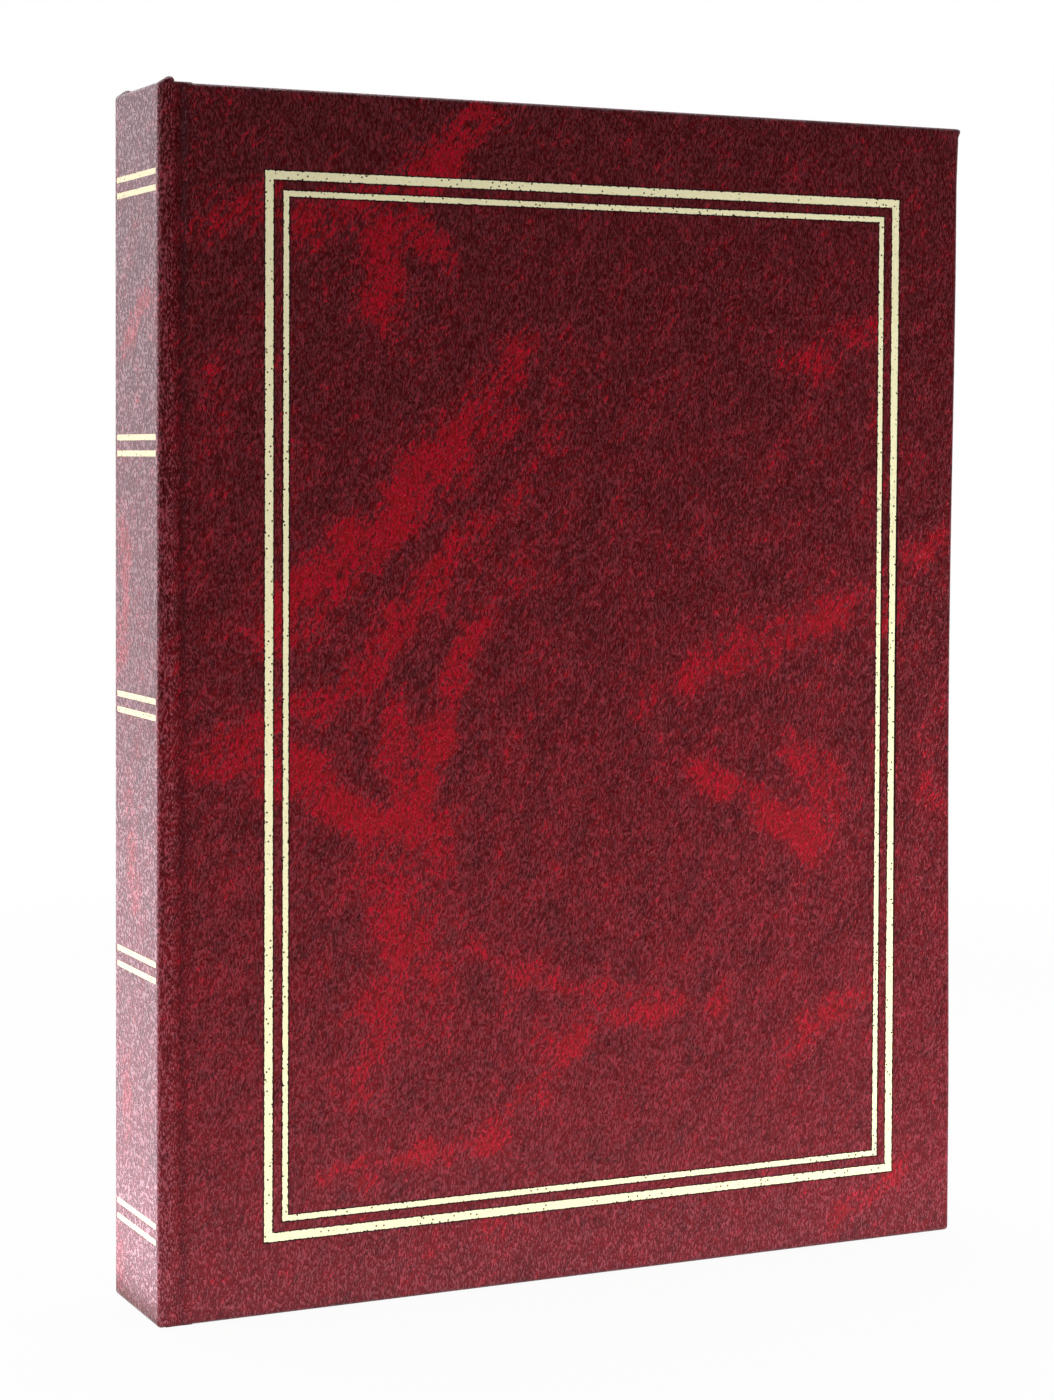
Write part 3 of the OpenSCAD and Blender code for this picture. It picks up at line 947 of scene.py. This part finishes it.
def leaf_card(wing_x):
    """Card, with the leaf's linen hinge up to the given place."""
    finish = Finish("leaf_card", Roughness=0.75)
    where = finish.place()
    x, y, z = finish.parts(where)
    linen = (wing_x / MM - x).ramp(-0.02, 0.02)
    fibres = finish.noise(where, 0.5, 5, 0.65)
    paper = finish.mix(fibres.ramp(0.36, 0.66), rgb(230, 225, 209), rgb(246, 243, 232))
    weave = thread_weave(x + y, z, LINEN_PITCH)
    cloth = finish.mix(weave, rgb(190, 182, 162), rgb(226, 220, 204))
    finish.link("Base Color", finish.mix(linen, paper, cloth))
    finish.bump(linen * weave * 0.04 + fibres * 0.01, 1.0)
    return finish.material


def wing_end(node):
    """Where the linen wing of a leaf ends: the widest x of its points but one."""
    return sorted({round(v.co.x, 5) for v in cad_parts[node].data.vertices})[-2]


LEAF_CARDS = {}
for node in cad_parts:
    if node in NODE_FINISH:
        dress(node, MATERIALS[NODE_FINISH[node]])
    elif node.startswith("leaf_card"):
        end = wing_end(node)
        if end not in LEAF_CARDS:
            LEAF_CARDS[end] = leaf_card(end)
        dress(node, LEAF_CARDS[end])
    elif node.startswith("leaf_pockets"):
        dress(node, MATERIALS["glassine"])


# ---------------------------------------------------------------- studio
# How bright gloss sees the room in front of the album, and how bright the world lights the album
ROOM_GLOSS = 0.03
WORLD_LIGHT = 0.2
# The floor's own white near the album. The rest is lit floor, which shows the shadow.
FLOOR_WHITE = 0.95
FLOOR_HALF_W = 6
# Distances in metres over which the floor turns from far to near, and from dim to white
FLOOR_NEAR = (0.8, 0.3)
FLOOR_BEHIND = (-0.03, 0.0)
FLOOR_FOOT = (-0.18, -0.02)
# The part of a direction's y over which the room turns from dim to white
ROOM_END = (-0.25, 0.1)
SPINE_TINT = (1, 0.86, 1)
FLOOR_LAMP_Z = 0.0003


def light_path(tree, outs):
    """1 for a ray of any of the given kinds."""
    paths = [add_node(tree, "ShaderNodeLightPath", out=name) for name in outs]
    total = paths[0]
    for path in paths[1:]:
        total = total.math("MAXIMUM", path)
    return total


def floor_finish():
    """White to the camera, apart from a faint shadow by the album. Gloss sees it dim in front."""
    finish = Finish("studio_floor", Roughness=0.9)
    tree = finish.tree
    glow = tree.nodes.new("ShaderNodeEmission")
    mixer = tree.nodes.new("ShaderNodeMixShader")
    output = next(n for n in tree.nodes if n.type == "OUTPUT_MATERIAL")
    where = finish.node("ShaderNodeTexCoord", out="Object")
    y = finish.parts(where)[1]
    near = where.vector("LENGTH", out="Value").ramp(*FLOOR_NEAR)
    finish.link("Base Color", finish.mix(near, (0.1, 0.1, 0.1), (0.9, 0.9, 0.9)))
    seen = light_path(tree, ["Is Camera Ray", "Is Transmission Ray"]) * (1 - near * (1 - FLOOR_WHITE))
    glossy = light_path(tree, ["Is Glossy Ray"])
    white = (y.ramp(*FLOOR_FOOT) * near).math("MAXIMUM", y.ramp(*FLOOR_BEHIND))
    gleam = white * (1 - ROOM_GLOSS) + ROOM_GLOSS
    tree.links.new((seen + glossy).output, mixer.inputs[0])
    tree.links.new((1 - glossy * (1 - gleam)).output, glow.inputs["Strength"])
    tree.links.new(finish.shader.outputs[0], mixer.inputs[1])
    tree.links.new(glow.outputs[0], mixer.inputs[2])
    tree.links.new(mixer.outputs[0], output.inputs[0])
    return finish.material


def make_floor():
    """The studio floor."""
    mesh = bpy.data.meshes.new("floor")
    bm = bmesh.new()
    bmesh.ops.create_grid(bm, x_segments=1, y_segments=1, size=FLOOR_HALF_W)
    bm.to_mesh(mesh)
    bm.free()
    floor = bpy.data.objects.new("floor", mesh)
    scene.collection.objects.link(floor)
    mesh.materials.append(floor_finish())


def make_world():
    """White behind the album for the camera and for its gloss, and a dim room in front of it."""
    world = bpy.data.worlds.new("studio")
    scene.world = world
    world.use_nodes = True
    tree = world.node_tree
    back = next(n for n in tree.nodes if n.type == "BACKGROUND")
    towards = add_node(tree, "ShaderNodeTexCoord", out="Generated")
    ahead = add_node(tree, "ShaderNodeSeparateXYZ", None, [towards], 1)
    room = ahead.ramp(*ROOM_END) * (1 - ROOM_GLOSS) + ROOM_GLOSS
    glossy = light_path(tree, ["Is Glossy Ray"])
    clear = light_path(tree, ["Is Camera Ray", "Is Transmission Ray"])
    strength = clear + glossy * room + (1 - clear.math("MAXIMUM", glossy)) * WORLD_LIGHT
    tree.links.new(strength.output, back.inputs["Strength"])
    back.inputs["Color"].default_value = (1, 1, 1, 1)


def softbox(name, place, target, width, height, radiance, mirrored=True, colour=(1, 1, 1)):
    """An area lamp whose face has the given radiance. mirrored says whether gloss shows it."""
    lamp = bpy.data.objects.new(name, bpy.data.lights.new(name, "AREA"))
    scene.collection.objects.link(lamp)
    lamp.data.shape = "RECTANGLE"
    lamp.data.size, lamp.data.size_y = width, height
    lamp.data.energy = radiance * math.pi * width * height
    lamp.data.color = colour
    lamp.location = place
    lamp.rotation_mode = "QUATERNION"
    lamp.rotation_quaternion = (Vector(target) - Vector(place)).to_track_quat("-Z", "Y")
    lamp.visible_camera = False
    lamp.visible_glossy = mirrored


def floor_lamp(name, place, width, depth, radiance, **options):
    """A softbox lying on the floor and shining up."""
    x, y, lift = place
    z = FLOOR_LAMP_Z + lift
    softbox(name, (x, y, z), (x, y, 1), width, depth, radiance, **options)


make_floor()
make_world()
middle = (0, 0, ALBUM_H / 2)
spine_middle = (SPINE_X, 0, ALBUM_H / 2)
softbox("overhead", (0, 0.45, 2), (0, 0.3, 0), 1.4, 1.4, 4.2)
softbox("key", (-1.3, -1.3, 0.9), middle, 1.2, 1.2, 0.8)
softbox("left", (-1.5, 0.4, 0.5), middle, 0.8, 0.8, 3)
softbox("right_front", (0.42, -0.3, 0.08), (0.11, 0, 0.08), 0.2, 0.2, 11, mirrored=False)
softbox("spine_back", (-0.65, 1.6, 0.5), spine_middle, 1.5, 1.5, 0.75, colour=SPINE_TINT)
floor_lamp("floor_front", (0.03, -0.1335, 0), 0.9, 0.23, 1.6, mirrored=False)
floor_lamp("spine_floor", (-0.56, 0.69, 0), 0.88, 1.41, 1.55, colour=SPINE_TINT)
floor_lamp("spine_foot", (-0.17, 0.06, 0.0001), 0.1, 0.16, 0.8, colour=SPINE_TINT)

scene.view_settings.view_transform = "Standard"
